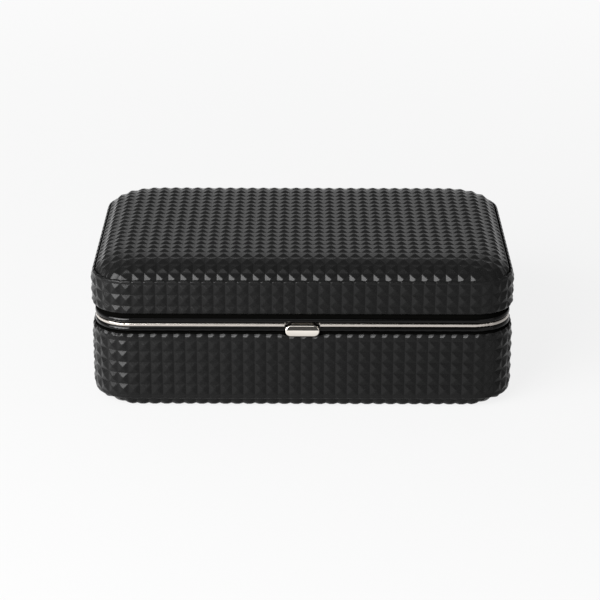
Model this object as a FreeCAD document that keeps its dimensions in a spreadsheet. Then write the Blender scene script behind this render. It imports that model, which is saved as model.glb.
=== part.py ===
import FreeCAD, Part
import math
import os

import Sketcher

V = FreeCAD.Vector

# Sizes in millimetres. Z is up from the table, X runs along the front, the button is at -Y.
# An inset is a distance inward from the outline that the leather's studs reach.
SIZES = [
    ("case_width", 230.0, "over the leather, left to right"),
    ("case_depth", 147.0, "over the leather, front to back"),
    ("corner_radius", 22.0, "plan radius of the leather's outline"),
    ("leather_thickness", 2.4, "leather with its studs"),
    ("seam_gap", 0.2, "groove between a panel and the band round it"),
    ("edge_roll", 2.2, "radius of a band's rolled edge"),
    ("board_thickness", 3.6, "carcass board"),
    ("panel_depth", 7.0, "bottom panel, table to board"),
    ("panel_roll", 3.0, "radius of the bottom panel's lower edge"),
    ("seam_height_base", 4.7, "lower edge of the base band above the table"),
    ("band_top_base", 42.9, "upper edge of the base band"),
    ("frame_bottom", 44.0, "underside of the base frame"),
    ("bead_height", 2.95, "each black bead"),
    ("bead_round", 1.4, "roundness of a bead"),
    ("bead_setback", 2.2, "inset of a bead's face"),
    ("trim_height", 1.9, "nickel line"),
    ("trim_setback", 2.5, "inset of the nickel line"),
    ("trim_round", 0.6, "roundness of the nickel line"),
    ("frame_sheet", 1.0, "thickness of the frames' skirts"),
    ("skirt_depth", 8.4, "how far the base's skirt reaches past its bead"),
    ("skirt_room", 6.0, "edge of the lid's skirt to the underside of the lid's board"),
    ("closing_gap", 0.2, "air between the closed halves"),
    ("band_gap_lid", 2.3, "bead to the lower edge of the lid band"),
    ("band_top_lid", 73.7, "upper edge of the lid band"),
    ("seam_drop", 3.7, "upper edge of the lid band above the lid's board"),
    ("crown_width", 18.5, "how far in the padded lid slopes up"),
    ("crown_rise", 10.2, "height of that slope"),
    ("camber_width", 26.5, "from the slope to the lid's highest level"),
    ("camber", 0.8, "swell of the lid inside the slope"),
    ("lining_thickness", 1.2, "suede-covered card"),
    ("lining_drop", 0.4, "lining's edge below the frame's edge"),
    ("ceiling_thickness", 2.0, "lid lining round the mirror"),
    ("mirror_width", 150.0, "looking glass"),
    ("mirror_depth", 90.0, "looking glass"),
    ("mirror_corner", 8.0, "plan radius of the glass"),
    ("mirror_play", 0.1, "air round the glass in the lining"),
    ("mirror_cover", 4.0, "how far the surround laps the glass"),
    ("surround_width", 10.0, "face width of the mirror surround"),
    ("surround_depth", 1.8, "thickness of the mirror surround"),
    ("divider_thickness", 3.0, "covered card divider"),
    ("divider_height", 28.0, "floor to the top of a divider"),
    ("divider_offset", 35.0, "centre line to a cross divider"),
    ("roll_front", -21.5, "middle of the divider in front of the ring rolls"),
    ("roll_height", 25.0, "floor to the top of a ring roll"),
    ("roll_gap", 0.1, "air between neighbouring ring rolls"),
    ("hinge_end", 53.0, "side of the case to the middle of a hinge"),
    ("hinge_length", 30.0, "three knuckles"),
    ("knuckle_radius", 2.1, "hinge barrel"),
    ("knuckle_play", 0.15, "end play between knuckles"),
    ("pin_radius", 0.9, "hinge pin"),
    ("pin_play", 0.05, "running clearance in the lid's knuckle"),
    ("leaf_thickness", 0.8, "hinge leaf behind the skirt"),
    ("leaf_depth", 9.0, "length of a leaf's leg"),
    ("web_thickness", 1.2, "leaf across the rim"),
    ("barrel_room", 0.3, "air round the barrel in its notch"),
    ("button_width", 18.4, "button's face"),
    ("button_height", 6.2, "button's face"),
    ("button_centre", 45.65, "height of the button's middle"),
    ("button_proud", 0.6, "button's face in front of the leather"),
    ("button_thickness", 2.2, "button cap"),
    ("button_corner", 3.0, "radius of the button's ends"),
    ("button_bulge", 9.0, "radius of the button's face, round about X"),
    ("button_lean", 1.2, "how far the bulge lies below the button's middle"),
    ("button_edge", 0.6, "roundness of the edge round the button's face"),
    ("button_room", 0.35, "air round the button in its notch"),
    ("button_travel", 1.5, "stroke of the button"),
    ("stem_width", 12.0, "slider behind the button"),
    ("stem_height", 2.2, "slider behind the button"),
    ("slot_play", 0.2, "air round the slider in the skirt's slot"),
    ("head_width", 16.0, "slider's cross head"),
    ("head_height", 3.4, "slider's cross head"),
    ("head_thickness", 0.85, "slider's cross head"),
    ("head_play", 0.1, "cross head to skirt at rest"),
    ("hook_width", 6.0, "tongue that hangs from the lid"),
    ("hook_sheet", 1.0, "thickness of the tongue"),
    ("hook_inset", 4.3, "inset of the tongue's front face"),
    ("hook_nose", 0.25, "how far the nose stands out behind the tongue"),
    ("hook_play", 0.15, "air between nose and slider"),
    ("hook_foot", 1.9, "depth of the tongue's foot"),
    ("window_play", 0.4, "air beside the tongue in the slider's window"),
    ("housing_width", 20.0, "box behind the front skirt"),
    ("housing_height", 6.0, "box behind the front skirt"),
    ("housing_depth", 4.6, "box behind the front skirt"),
    ("housing_sheet", 0.8, "box behind the front skirt"),
    ("spring_sheet", 0.35, "bowed leaf spring"),
    ("spring_width", 2.6, "bowed leaf spring"),
    ("spring_span", 14.0, "bowed leaf spring, end to end"),
]

# Where the padded lid's slope and its swell are measured: share of the way across each.
CROWN_SHARES = (0.0, 0.1, 0.25, 0.45, 0.7, 1.0)
CROWN_POWER = 2.2
CAMBER_SHARES = (0.3, 0.65, 1.0)
RING_ROLLS = 6


class Size:
    """A length, held as its value and as the text that ties it to the sheet."""

    def __init__(self, value, text):
        self.value = value
        self.text = text

    def join(self, other, sign, value):
        if not isinstance(other, Size):
            other = Size(other, repr(other))
        return Size(value(self.value, other.value), f"({self.text} {sign} {other.text})")

    def __add__(self, other):
        return self.join(other, "+", lambda a, b: a + b)

    def __sub__(self, other):
        return self.join(other, "-", lambda a, b: a - b)

    def __mul__(self, other):
        return self.join(other, "*", lambda a, b: a * b)

    def __truediv__(self, other):
        return self.join(other, "/", lambda a, b: a / b)

    def __neg__(self):
        return self * -1


class Sizes:
    """The sheet's cells, as attributes."""

    def __init__(self, sheet):
        for row, (name, value, note) in enumerate(SIZES, 1):
            sheet.set(f"A{row}", name)
            sheet.set(f"B{row}", str(value))
            sheet.set(f"C{row}", note)
            sheet.setAlias(f"B{row}", name)
            setattr(self, name, Size(value, f"sizes.{name}"))


doc = FreeCAD.newDocument("jewellery_case")
s = Sizes(doc.addObject("Spreadsheet::Sheet", "sizes"))
doc.recompute()
ZERO = Size(0.0, "0")
NODES = []


def bind(thing, prop, size):
    """Tie a property to a length."""
    thing.setExpression(prop, size.text)


def node(thing, name):
    """Name a finished piece and list it for writing."""
    thing.Label = name
    NODES.append(thing)
    return thing


def front(inset):
    """The Y of an inset at the front of the case."""
    return inset - s.case_depth / 2


def back(inset):
    """The Y of an inset at the back of the case."""
    return s.case_depth / 2 - inset


def new_body(name):
    """An empty body."""
    return doc.addObject("PartDesign::Body", name + "_body")


def new_sketch(body, name, height, plane="XY_Plane"):
    """A level sketch at a height, or an upright one at a distance forward."""
    level = [f for f in body.Origin.OriginFeatures if f.Role == plane][0]
    sketch = body.newObject("Sketcher::SketchObject", name)
    sketch.AttachmentSupport = [(level, "")]
    sketch.MapMode = "FlatFace"
    bind(sketch, "AttachmentOffset.Base.z", height)
    return sketch


def measure(sketch, constraint, size):
    """Add a measured constraint and tie it to a length."""
    index = sketch.addConstraint(constraint)
    sketch.setExpression(f"Constraints[{index}]", size.text)


def rounded(body, name, width, depth, radius, height, plane="XY_Plane"):
    """A sketch of a rounded rectangle about the centre."""
    sketch = new_sketch(body, name, height, plane)
    x, y, r = width.value / 2, depth.value / 2, radius.value
    turns = [(x - r, r - y, 270), (x - r, y - r, 0), (r - x, y - r, 90), (r - x, r - y, 180)]
    arcs = []
    for cx, cy, start in turns:
        circle = Part.Circle(V(cx, cy, 0), V(0, 0, 1), r)
        arcs.append(Part.ArcOfCircle(circle, math.radians(start), math.radians(start + 90)))
    lines = [
        Part.LineSegment(V(r - x, -y, 0), V(x - r, -y, 0)),
        Part.LineSegment(V(x, r - y, 0), V(x, y - r, 0)),
        Part.LineSegment(V(x - r, y, 0), V(r - x, y, 0)),
        Part.LineSegment(V(-x, y - r, 0), V(-x, r - y, 0)),
    ]
    sketch.addGeometry([g for pair in zip(lines, arcs) for g in pair], False)
    rule = Sketcher.Constraint
    sketch.addConstraint([rule("Tangent", i, 2, (i + 1) % 8, 1) for i in range(8)])
    sketch.addConstraint([rule("Horizontal", 4), rule("Vertical", 6)])
    sketch.addConstraint([rule("Equal", 1, 3), rule("Equal", 3, 5), rule("Equal", 5, 7)])
    sketch.addConstraint([rule("Symmetric", 0, 1, 0, 2, -2), rule("Symmetric", 2, 1, 2, 2, -1)])
    measure(sketch, rule("DistanceX", 6, 1, 2, 1, width.value), width)
    measure(sketch, rule("DistanceY", 0, 1, 4, 1, depth.value), depth)
    measure(sketch, rule("Radius", 1, r), radius)
    return sketch


def outline(body, name, inset, height):
    """A sketch of the case's outline, moved in by an inset."""
    width = s.case_width - inset * 2
    depth = s.case_depth - inset * 2
    return rounded(body, name, width, depth, s.corner_radius - inset, height)


def rectangle(body, name, xs, ys, height):
    """A sketch of a plain rectangle."""
    sketch = new_sketch(body, name, height)
    (x0, x1), (y0, y1) = xs, ys
    corners = [V(x.value, y.value, 0) for x, y in ((x0, y0), (x1, y0), (x1, y1), (x0, y1))]
    sides = [Part.LineSegment(corners[i], corners[(i + 1) % 4]) for i in range(4)]
    sketch.addGeometry(sides, False)
    rule = Sketcher.Constraint
    sketch.addConstraint([rule("Coincident", i, 2, (i + 1) % 4, 1) for i in range(4)])
    sketch.addConstraint([rule("Horizontal", 0), rule("Horizontal", 2)])
    sketch.addConstraint([rule("Vertical", 1), rule("Vertical", 3)])
    measure(sketch, rule("DistanceX", -1, 1, 0, 1, x0.value), x0)
    measure(sketch, rule("DistanceY", -1, 1, 0, 1, y0.value), y0)
    measure(sketch, rule("DistanceX", 0, 1, 0, 2, (x1 - x0).value), x1 - x0)
    measure(sketch, rule("DistanceY", 1, 1, 1, 2, (y1 - y0).value), y1 - y0)
    return sketch


def pad(body, sketch, length):
    """Raise a sketch upward, or an upright one forward."""
    feature = body.newObject("PartDesign::Pad", sketch.Name + "_pad")
    feature.Profile = sketch
    bind(feature, "Length", length)
    doc.recompute()
    return feature


def pocket(body, sketch, length, upward=False):
    """Cut a sketch downward, or upward."""
    feature = body.newObject("PartDesign::Pocket", sketch.Name + "_cut")
    feature.Profile = sketch
    feature.Reversed = upward
    bind(feature, "Length", length)
    doc.recompute()
    return feature


def edge_inset(edge):
    """How far the middle of an edge lies inside the case's outline."""
    middle = edge.valueAt((edge.FirstParameter + edge.LastParameter) / 2)
    r = s.corner_radius.value
    x = abs(middle.x) - s.case_width.value / 2 + r
    y = abs(middle.y) - s.case_depth.value / 2 + r
    return r - math.hypot(max(x, 0), max(y, 0)) - min(max(x, y), 0)


def soften(body, inset, heights, radius):
    """Round the edges that run round the case at an inset and at some heights."""
    base = body.Tip
    names = []
    for index, edge in enumerate(base.Shape.Edges, 1):
        box = edge.BoundBox
        level = any(max(abs(box.ZMin - z.value), abs(box.ZMax - z.value)) < 1e-4 for z in heights)
        if level and abs(edge_inset(edge) - inset.value) < 1e-4:
            names.append(f"Edge{index}")
    feature = body.newObject("PartDesign::Fillet", body.Name + "_round")
    feature.Base = (base, names)
    bind(feature, "Radius", radius)
    doc.recompute()
    return feature


def box(xs, ys, zs):
    """A block between two X, two Y and two Z."""
    block = doc.addObject("Part::Box", "block")
    for prop, axis, (low, high) in zip(("Length", "Width", "Height"), "xyz", (xs, ys, zs)):
        bind(block, prop, high - low)
        bind(block, f"Placement.Base.{axis}", low)
    return block


def rod(xs, y, z, radius):
    """A round bar along X."""
    bar = doc.addObject("Part::Cylinder", "bar")
    bar.Placement.Rotation = FreeCAD.Rotation(V(0, 1, 0), 90)
    bind(bar, "Height", xs[1] - xs[0])
    bind(bar, "Radius", radius)
    bind(bar, "Placement.Base.x", xs[0])
    bind(bar, "Placement.Base.y", y)
    bind(bar, "Placement.Base.z", z)
    return bar


def joined(*solids):
    """Several solids as one."""
    whole = doc.addObject("Part::MultiFuse", "whole")
    whole.Shapes = list(solids)
    whole.Refine = True
    return whole


def less(solid, tool):
    """A solid with another cut out of it."""
    rest = doc.addObject("Part::Cut", "rest")
    rest.Base = solid
    rest.Tool = tool
    return rest


def middle(width):
    """The two X of something centred on the case."""
    return -(width / 2), width / 2


def band(name, low, high):
    """A leather band with both outer edges rolled in."""
    body = new_body(name)
    pad(body, outline(body, name + "_outer", ZERO, low), high - low)
    soften(body, ZERO, (low, high), s.edge_roll)
    pocket(body, outline(body, name + "_inner", s.leather_thickness, high), high - low)
    return node(body, name)


# Levels and insets that several pieces share.
wall = s.leather_thickness + s.board_thickness
skirt = wall + s.frame_sheet
lined = skirt + s.lining_thickness
panel = s.leather_thickness + s.seam_gap
floor = s.panel_depth + s.board_thickness
bead_top = s.frame_bottom + s.bead_height
parting = bead_top + s.trim_height
lid_bottom = parting + s.closing_gap
lid_bead = lid_bottom + s.bead_height
deck_top = s.band_top_lid - s.seam_drop
deck_under = deck_top - s.board_thickness
ceiling = deck_under - s.ceiling_thickness
floor_face = floor + s.lining_thickness

# The barrel's axis lies in the plane of the beads' faces, so the lid swings clear of the base.
axis_inset = s.bead_setback
axis_z = parting + s.closing_gap / 2
barrel = s.knuckle_radius + s.barrel_room
notch_inset = axis_inset + barrel
leaf_back = skirt + s.leaf_thickness
notch_half = s.hinge_length / 2 + s.knuckle_play
hinge_middle = s.case_width / 2 - s.hinge_end
hinge_sides = ((-hinge_middle, "left"), (hinge_middle, "right"))

button_notch = middle(s.button_width + s.button_room * 2)
button_floor = s.button_centre - s.button_height / 2 - s.button_room
button_back = s.button_thickness - s.button_proud
slot_low = s.button_centre - s.stem_height / 2 - s.slot_play
slot = middle(s.stem_width + s.slot_play * 2)


def hinge_notches(body, name, insets, top, depth, upward=False):
    """Cut room for both hinges into a rim at the back."""
    for x, side in hinge_sides:
        ys = (back(insets[1]), back(insets[0]))
        sketch = rectangle(body, f"{name}_{side}", (x - notch_half, x + notch_half), ys, top)
        pocket(body, sketch, depth, upward)


def base_carcass():
    """The base's board box, with its rim cut down behind the button."""
    body = new_body("base_carcass")
    height = s.frame_bottom - s.panel_depth
    pad(body, outline(body, "base_box", s.leather_thickness, s.panel_depth), height)
    pocket(body, outline(body, "base_room", wall, s.frame_bottom), height - s.board_thickness)
    ys = (front(ZERO), front(wall))
    step = rectangle(body, "base_step", button_notch, ys, s.frame_bottom)
    pocket(body, step, s.frame_bottom - button_floor)
    return node(body, "base_carcass")


def base_side_leather():
    """The base band, with its upper edge cut down behind the button."""
    body = band("base_side_leather", s.seam_height_base, s.band_top_base)
    ys = (front(-s.button_proud), front(s.leather_thickness + s.button_room))
    dip = rectangle(body, "band_dip", button_notch, ys, s.band_top_base)
    pocket(body, dip, s.band_top_base - button_floor)
    return body


def base_bottom_panel():
    """The padded bottom panel that the case stands on."""
    body = new_body("base_bottom_panel")
    pad(body, outline(body, "bottom_slab", panel, ZERO), s.panel_depth)
    soften(body, panel, (ZERO,), s.panel_roll)
    return node(body, "base_bottom_panel")


def base_frame():
    """The base's black frame: a bead, and a skirt inside the board."""
    body = new_body("base_frame")
    pad(body, outline(body, "bead_outer", s.bead_setback, s.frame_bottom), s.bead_height)
    soften(body, s.bead_setback, (s.frame_bottom, bead_top), s.bead_round)
    skirt_low = s.frame_bottom - s.skirt_depth
    pad(body, outline(body, "skirt_outer", wall, skirt_low), s.skirt_depth)
    pocket(body, outline(body, "frame_inner", skirt, bead_top), s.bead_height + s.skirt_depth)
    gate = rectangle(body, "button_gate", button_notch, (front(ZERO), front(wall)), bead_top)
    pocket(body, gate, s.bead_height)
    pass_through = rectangle(body, "stem_slot", slot, (front(ZERO), front(lined)), bead_top)
    pocket(body, pass_through, bead_top - slot_low)
    hinge_notches(body, "frame_notch", (ZERO, notch_inset), bead_top, bead_top - axis_z + barrel)
    return node(body, "base_frame")


def frame_trim():
    """The nickel line on the base frame, open at the button and the hinges."""
    body = new_body("frame_trim")
    pad(body, outline(body, "trim_outer", s.trim_setback, bead_top), s.trim_height)
    soften(body, s.trim_setback, (bead_top, parting), s.trim_round)
    pocket(body, outline(body, "trim_inner", skirt, parting), s.trim_height)
    gate = rectangle(body, "trim_gate", button_notch, (front(ZERO), front(wall)), parting)
    pocket(body, gate, s.trim_height)
    hinge_notches(body, "trim_notch", (ZERO, lined), parting, s.trim_height)
    return node(body, "frame_trim")


def base_lining():
    """The tray lining, cut round the catch and the hinges' legs."""
    body = new_body("base_lining")
    rim = bead_top - s.lining_drop
    pad(body, outline(body, "tray_outer", skirt, floor), rim - floor)
    pocket(body, outline(body, "tray_inner", lined, rim), rim - floor_face)
    width = middle(s.housing_width + s.button_room * 2)
    gate = rectangle(body, "tray_gate", width, (front(wall), front(lined + s.seam_gap)), rim)
    housing_low = parting - s.seam_gap - s.housing_height
    pocket(body, gate, rim - housing_low + s.seam_gap)
    leg = bead_top - s.leaf_depth - s.seam_gap
    hinge_notches(body, "tray_notch", (wall, lined + s.seam_gap), rim, rim - leg)
    return node(body, "base_lining")


def divider(name, xs, ys):
    """A card divider with a rounded top edge."""
    half = s.divider_thickness / 2
    top = floor_face + s.divider_height - half
    card = box(xs, ys, (floor_face, top))
    if ys[1].value - ys[0].value < xs[1].value - xs[0].value:
        edge = rod(xs, (ys[0] + ys[1]) / 2, top, half)
    else:
        edge = rod((ys[0], ys[1]), ys[0], top, half)
        edge.Placement.Rotation = FreeCAD.Rotation(V(1, 0, 0), -90)
        bind(edge, "Placement.Base.x", (xs[0] + xs[1]) / 2)
    return node(joined(card, edge), name)


def base_fittings():
    """Dividers and ring rolls."""
    half = s.divider_thickness / 2
    side = s.case_width / 2 - lined
    deep = (front(lined), back(lined))
    inner = s.divider_offset - half
    outer = s.divider_offset + half
    divider("cross_divider_left", (-outer, -inner), deep)
    divider("cross_divider_right", (inner, outer), deep)
    divider("roll_divider", (-inner, inner), (s.roll_front - half, s.roll_front + half))
    divider("left_divider", (-side, -outer), (-half, half))
    start = s.roll_front + half
    pitch = (back(lined) - start) / RING_ROLLS
    radius = (pitch - s.roll_gap) / 2
    length = (-inner, inner)
    for index in range(RING_ROLLS):
        y = start + pitch * (index + 0.5)
        top = floor_face + s.roll_height - radius
        block = box(length, (y - radius, y + radius), (floor_face, top))
        node(joined(block, rod(length, y, top, radius)), f"ring_roll_{index + 1}")


def lid_carcass():
    """The lid's board box, open downward."""
    body = new_body("lid_carcass")
    pad(body, outline(body, "lid_box", s.leather_thickness, lid_bead), deck_top - lid_bead)
    pocket(body, outline(body, "lid_room", wall, lid_bead), deck_under - lid_bead, True)
    return node(body, "lid_carcass")


def crown_sections(body, name, skin, low):
    """Sketches of the padded lid's slope and swell from a level up, less a skin."""
    steps = [(s.crown_width * a, s.crown_rise * (1 - (1 - a) ** CROWN_POWER)) for a in CROWN_SHARES]
    for a in CAMBER_SHARES:
        steps.append((s.crown_width + s.camber_width * a, s.crown_rise + s.camber * a * (2 - a)))
    sections = []
    for index, (across, rise) in enumerate(steps):
        width = s.case_width - (panel + skin + across) * 2
        depth = s.case_depth - (panel + skin + across) * 2
        corner = s.corner_radius - panel - skin
        sections.append(rounded(body, f"{name}_{index}", width, depth, corner, low + rise))
    doc.recompute()
    return sections


def lofted(body, kind, sections):
    """Add or take away the solid through some sections."""
    feature = body.newObject(f"PartDesign::{kind}Loft", sections[0].Name + "_loft")
    feature.Profile = sections[0]
    feature.Sections = sections[1:]
    feature.Ruled = False
    doc.recompute()
    return feature


def lid_top():
    """The padded top panel: its leather and the padding under it."""
    skin = s.leather_thickness
    body = new_body("lid_top_leather")
    pad(body, outline(body, "crown_edge", panel, deck_top), skin)
    lofted(body, "Additive", crown_sections(body, "crown", ZERO, deck_top + skin))
    lofted(body, "Subtractive", crown_sections(body, "hollow", skin, deck_top))
    node(body, "lid_top_leather")
    body = new_body("lid_padding")
    lofted(body, "Additive", crown_sections(body, "wadding", skin, deck_top))
    node(body, "lid_padding")


def lid_frame():
    """The lid's black frame, with room for the hinges."""
    body = new_body("lid_frame")
    pad(body, outline(body, "lid_bead_outer", s.bead_setback, lid_bottom), s.bead_height)
    soften(body, s.bead_setback, (lid_bottom, lid_bead), s.bead_round)
    reach = deck_under - s.skirt_room - lid_bead
    pad(body, outline(body, "lid_skirt", wall, lid_bead), reach)
    pocket(body, outline(body, "lid_frame_inner", skirt, lid_bottom), s.bead_height + reach, True)
    room = (ZERO, notch_inset)
    hinge_notches(body, "lid_notch", room, lid_bottom, axis_z + barrel - lid_bottom, True)
    hinge_notches(body, "lid_web", (notch_inset, lined), lid_bottom, s.web_thickness, True)
    return node(body, "lid_frame")


def lid_lining():
    """The lid's lining with a window for the mirror."""
    body = new_body("lid_lining")
    rim = lid_bottom + s.lining_drop
    pad(body, outline(body, "cap_outer", skirt, rim), deck_under - rim)
    pocket(body, outline(body, "cap_inner", lined, rim), ceiling - rim, True)
    play = s.mirror_play * 2
    view = (s.mirror_width + play, s.mirror_depth + play, s.mirror_corner + s.mirror_play)
    pocket(body, rounded(body, "view", *view, deck_under), s.ceiling_thickness)
    leg = lid_bottom + s.leaf_depth + s.seam_gap
    hinge_notches(body, "cap_notch", (wall, lined + s.seam_gap), rim, leg - rim, True)
    return node(body, "lid_lining")


def lid_mirror():
    """The looking glass and the covered surround that holds it."""
    body = new_body("mirror_glass")
    glass = (s.mirror_width, s.mirror_depth, s.mirror_corner)
    pad(body, rounded(body, "glass", *glass, ceiling), s.ceiling_thickness)
    node(body, "mirror_glass")
    body = new_body("mirror_surround")
    low = ceiling - s.surround_depth
    step = s.surround_width - s.mirror_cover
    outer = [size + step * 2 for size in glass[:2]] + [s.mirror_corner + step]
    inner = [size - s.mirror_cover * 2 for size in glass[:2]] + [s.mirror_corner - s.mirror_cover]
    pad(body, rounded(body, "surround", *outer, low), s.surround_depth)
    pocket(body, rounded(body, "sight", *inner, ceiling), s.surround_depth)
    node(body, "mirror_surround")


def hinges():
    """Two pin hinges across the rim at the back."""
    third = s.hinge_length / 3
    end = s.hinge_length / 2
    base_web = (bead_top, bead_top + s.web_thickness)
    lid_web = (lid_bottom, lid_bottom + s.web_thickness)
    base_leg = (bead_top - s.leaf_depth, bead_top + s.web_thickness)
    lid_leg = (lid_bottom, lid_bottom + s.leaf_depth)
    axis = back(axis_inset)
    for x, side in hinge_sides:
        ends = (x - end, x + end)
        centre = (x - third / 2 + s.knuckle_play, x + third / 2 - s.knuckle_play)
        outer = ((ends[0], x - third / 2), (x + third / 2, ends[1]))
        plate = (back(leaf_back), back(notch_inset))
        leg = (back(leaf_back), back(skirt))
        arm = (back(leaf_back), axis)
        pieces = [box(ends, plate, base_web), box(ends, leg, base_leg)]
        for xs in outer:
            pieces.append(rod(xs, axis, axis_z, s.knuckle_radius))
            pieces.append(box(xs, arm, base_web))
        bore = rod(ends, axis, axis_z, s.pin_radius)
        node(less(joined(*pieces), bore), f"base_hinge_leaf_{side}")
        pieces = [box(ends, plate, lid_web), box(ends, leg, lid_leg)]
        pieces.append(rod(centre, axis, axis_z, s.knuckle_radius))
        pieces.append(box(centre, arm, lid_web))
        bore = rod(ends, axis, axis_z, s.pin_radius + s.pin_play)
        node(less(joined(*pieces), bore), f"lid_hinge_leaf_{side}")
        node(rod(ends, axis, axis_z, s.pin_radius), f"hinge_pin_{side}")


def catch():
    """The push button, its slider, spring and housing, and the lid's hook."""
    cap_back = front(button_back)
    body = new_body("button_cap")
    face = (s.button_width, s.button_height, s.button_corner)
    stadium = rounded(body, "button_face", *face, -cap_back, "XZ_Plane")
    bind(stadium, "AttachmentOffset.Base.y", s.button_centre)
    pad(body, stadium, s.button_thickness)
    drum = new_body("button_drum")
    bulge = new_sketch(drum, "bulge", -(s.button_width / 2), "YZ_Plane")
    bulge.addGeometry(Part.Circle(V(0, 0, 0), V(0, 0, 1), s.button_bulge.value), False)
    bulge.addConstraint(Sketcher.Constraint("Coincident", 0, 3, -1, 1))
    measure(bulge, Sketcher.Constraint("Radius", 0, s.button_bulge.value), s.button_bulge)
    bind(bulge, "AttachmentOffset.Base.x", front(-s.button_proud) + s.button_bulge)
    bind(bulge, "AttachmentOffset.Base.y", s.button_centre - s.button_lean)
    pad(drum, bulge, s.button_width)
    cap = body.newObject("PartDesign::Boolean", "button_blank")
    cap.Type = "Common"
    cap.addObjects([drum])
    doc.recompute()
    rim = []
    for index, edge in enumerate(cap.Shape.Edges, 1):
        if edge.BoundBox.YMax < cap_back.value - 1e-4:
            rim.append(f"Edge{index}")
    dome = body.newObject("PartDesign::Fillet", "button_round")
    dome.Base = (cap, rim)
    bind(dome, "Radius", s.button_edge)
    node(body, "button_cap")

    head_front = skirt + s.head_play
    head_back = head_front + s.head_thickness
    half = s.stem_height / 2
    stem_z = (s.button_centre - half, s.button_centre + half)
    head_z = (s.button_centre - s.head_height / 2, s.button_centre + s.head_height / 2)
    stem = box(middle(s.stem_width), (cap_back, front(head_front)), stem_z)
    head = box(middle(s.head_width), (front(head_front), front(head_back)), head_z)
    nose_tip = s.hook_inset + s.hook_sheet + s.hook_nose
    window_front = s.hook_inset - s.button_travel - s.hook_play
    window_back = nose_tip + s.hook_play
    gap = middle(s.hook_width + s.window_play * 2)
    window = box(gap, (front(window_front), front(window_back)), stem_z)
    node(less(joined(stem, head), window), "catch_slider")

    housing_top = parting - s.seam_gap
    zs = (housing_top - s.housing_height, housing_top)
    outside = box(middle(s.housing_width), (front(skirt), front(skirt + s.housing_depth)), zs)
    inset = s.housing_sheet
    housing_room = skirt + s.housing_depth - inset
    inside = box(
        middle(s.housing_width - inset * 2),
        (front(skirt), front(housing_room)),
        (zs[0] + inset, zs[1] - inset),
    )
    node(less(outside, inside), "catch_housing")

    # A bow between the housing's back wall and the slider's head.
    bow = housing_room - head_back - s.spring_sheet
    half_span = s.spring_span / 2
    outer_radius = (half_span * half_span + bow * bow) / (bow * 2)
    centre = front(head_back) + outer_radius
    spring_z = s.button_centre - s.spring_width / 2
    hoops = []
    for size in (outer_radius, outer_radius - s.spring_sheet):
        hoop = doc.addObject("Part::Cylinder", "hoop")
        bind(hoop, "Radius", size)
        bind(hoop, "Height", s.spring_width)
        bind(hoop, "Placement.Base.y", centre)
        bind(hoop, "Placement.Base.z", spring_z)
        hoops.append(hoop)
    keep = box(
        middle(s.spring_span),
        (front(head_back - s.head_thickness), front(housing_room)),
        (spring_z, spring_z + s.spring_width),
    )
    bowed = doc.addObject("Part::MultiCommon", "bowed")
    bowed.Shapes = [less(*hoops), keep]
    node(bowed, "catch_spring")

    tongue_top = lid_bottom - s.hook_sheet
    tongue_low = button_floor + s.slot_play
    nose_top = stem_z[0] - s.hook_play
    hook_back = s.hook_inset + s.hook_sheet
    foot_back = s.hook_inset - s.slot_play * 2 + s.hook_foot
    foot_ys = (front(s.hook_inset - s.slot_play * 2), front(foot_back))
    tongue = box(middle(s.hook_width), (front(s.hook_inset), front(hook_back)), (tongue_low, tongue_top))
    nose = box(middle(s.hook_width), (front(hook_back), front(nose_tip)), (tongue_low, nose_top))
    foot = box(middle(s.stem_width - s.hook_foot), foot_ys, (tongue_top, lid_bottom))
    node(joined(tongue, nose, foot), "catch_hook")


base_carcass()
base_side_leather()
base_bottom_panel()
base_frame()
frame_trim()
base_lining()
base_fittings()
lid_carcass()
band("lid_side_leather", lid_bead + s.band_gap_lid, s.band_top_lid)
lid_top()
lid_frame()
lid_lining()
lid_mirror()
hinges()
catch()
doc.recompute()

os.makedirs("parts", exist_ok=True)
for thing in doc.Objects:
    if {"Invalid", "Error"} & set(thing.State):
        raise RuntimeError(f"{thing.Label} did not build: {thing.State}")
for thing in NODES:
    if thing.Shape.isNull() or not thing.Shape.isValid():
        raise RuntimeError(f"{thing.Label} has a bad shape")
    thing.Shape.exportStep(f"parts/{thing.Label}.step")
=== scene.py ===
"""Studded leather jewellery case: its looks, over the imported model."""
import math

import bpy
import numpy as np
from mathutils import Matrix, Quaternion, Vector


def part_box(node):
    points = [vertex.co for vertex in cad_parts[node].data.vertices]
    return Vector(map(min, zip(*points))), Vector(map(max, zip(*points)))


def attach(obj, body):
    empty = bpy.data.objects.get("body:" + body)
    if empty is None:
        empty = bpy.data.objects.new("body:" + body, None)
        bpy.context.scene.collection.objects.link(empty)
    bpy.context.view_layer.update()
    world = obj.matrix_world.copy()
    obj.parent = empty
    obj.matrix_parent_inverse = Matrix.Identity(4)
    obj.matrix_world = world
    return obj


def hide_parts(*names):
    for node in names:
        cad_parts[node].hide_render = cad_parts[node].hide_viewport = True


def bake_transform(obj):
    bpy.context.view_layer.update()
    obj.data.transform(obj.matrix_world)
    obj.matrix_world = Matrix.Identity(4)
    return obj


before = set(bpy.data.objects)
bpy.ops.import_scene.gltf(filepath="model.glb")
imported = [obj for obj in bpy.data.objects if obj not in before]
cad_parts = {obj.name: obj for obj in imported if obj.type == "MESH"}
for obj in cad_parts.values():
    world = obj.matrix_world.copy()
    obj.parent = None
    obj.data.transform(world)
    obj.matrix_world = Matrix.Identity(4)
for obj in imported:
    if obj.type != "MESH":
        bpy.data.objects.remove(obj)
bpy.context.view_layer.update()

# Sizes of the case in millimetres; an inset is measured inward from the tips of the studs.
MM = 0.001
WIDTH, DEPTH, CORNER = 230.0, 147.0, 22.0
LEATHER = 2.4
PANEL_INSET = 2.6
BASE_BAND = (4.7, 42.9)
LID_BAND = (54.3, 73.7)
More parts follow.
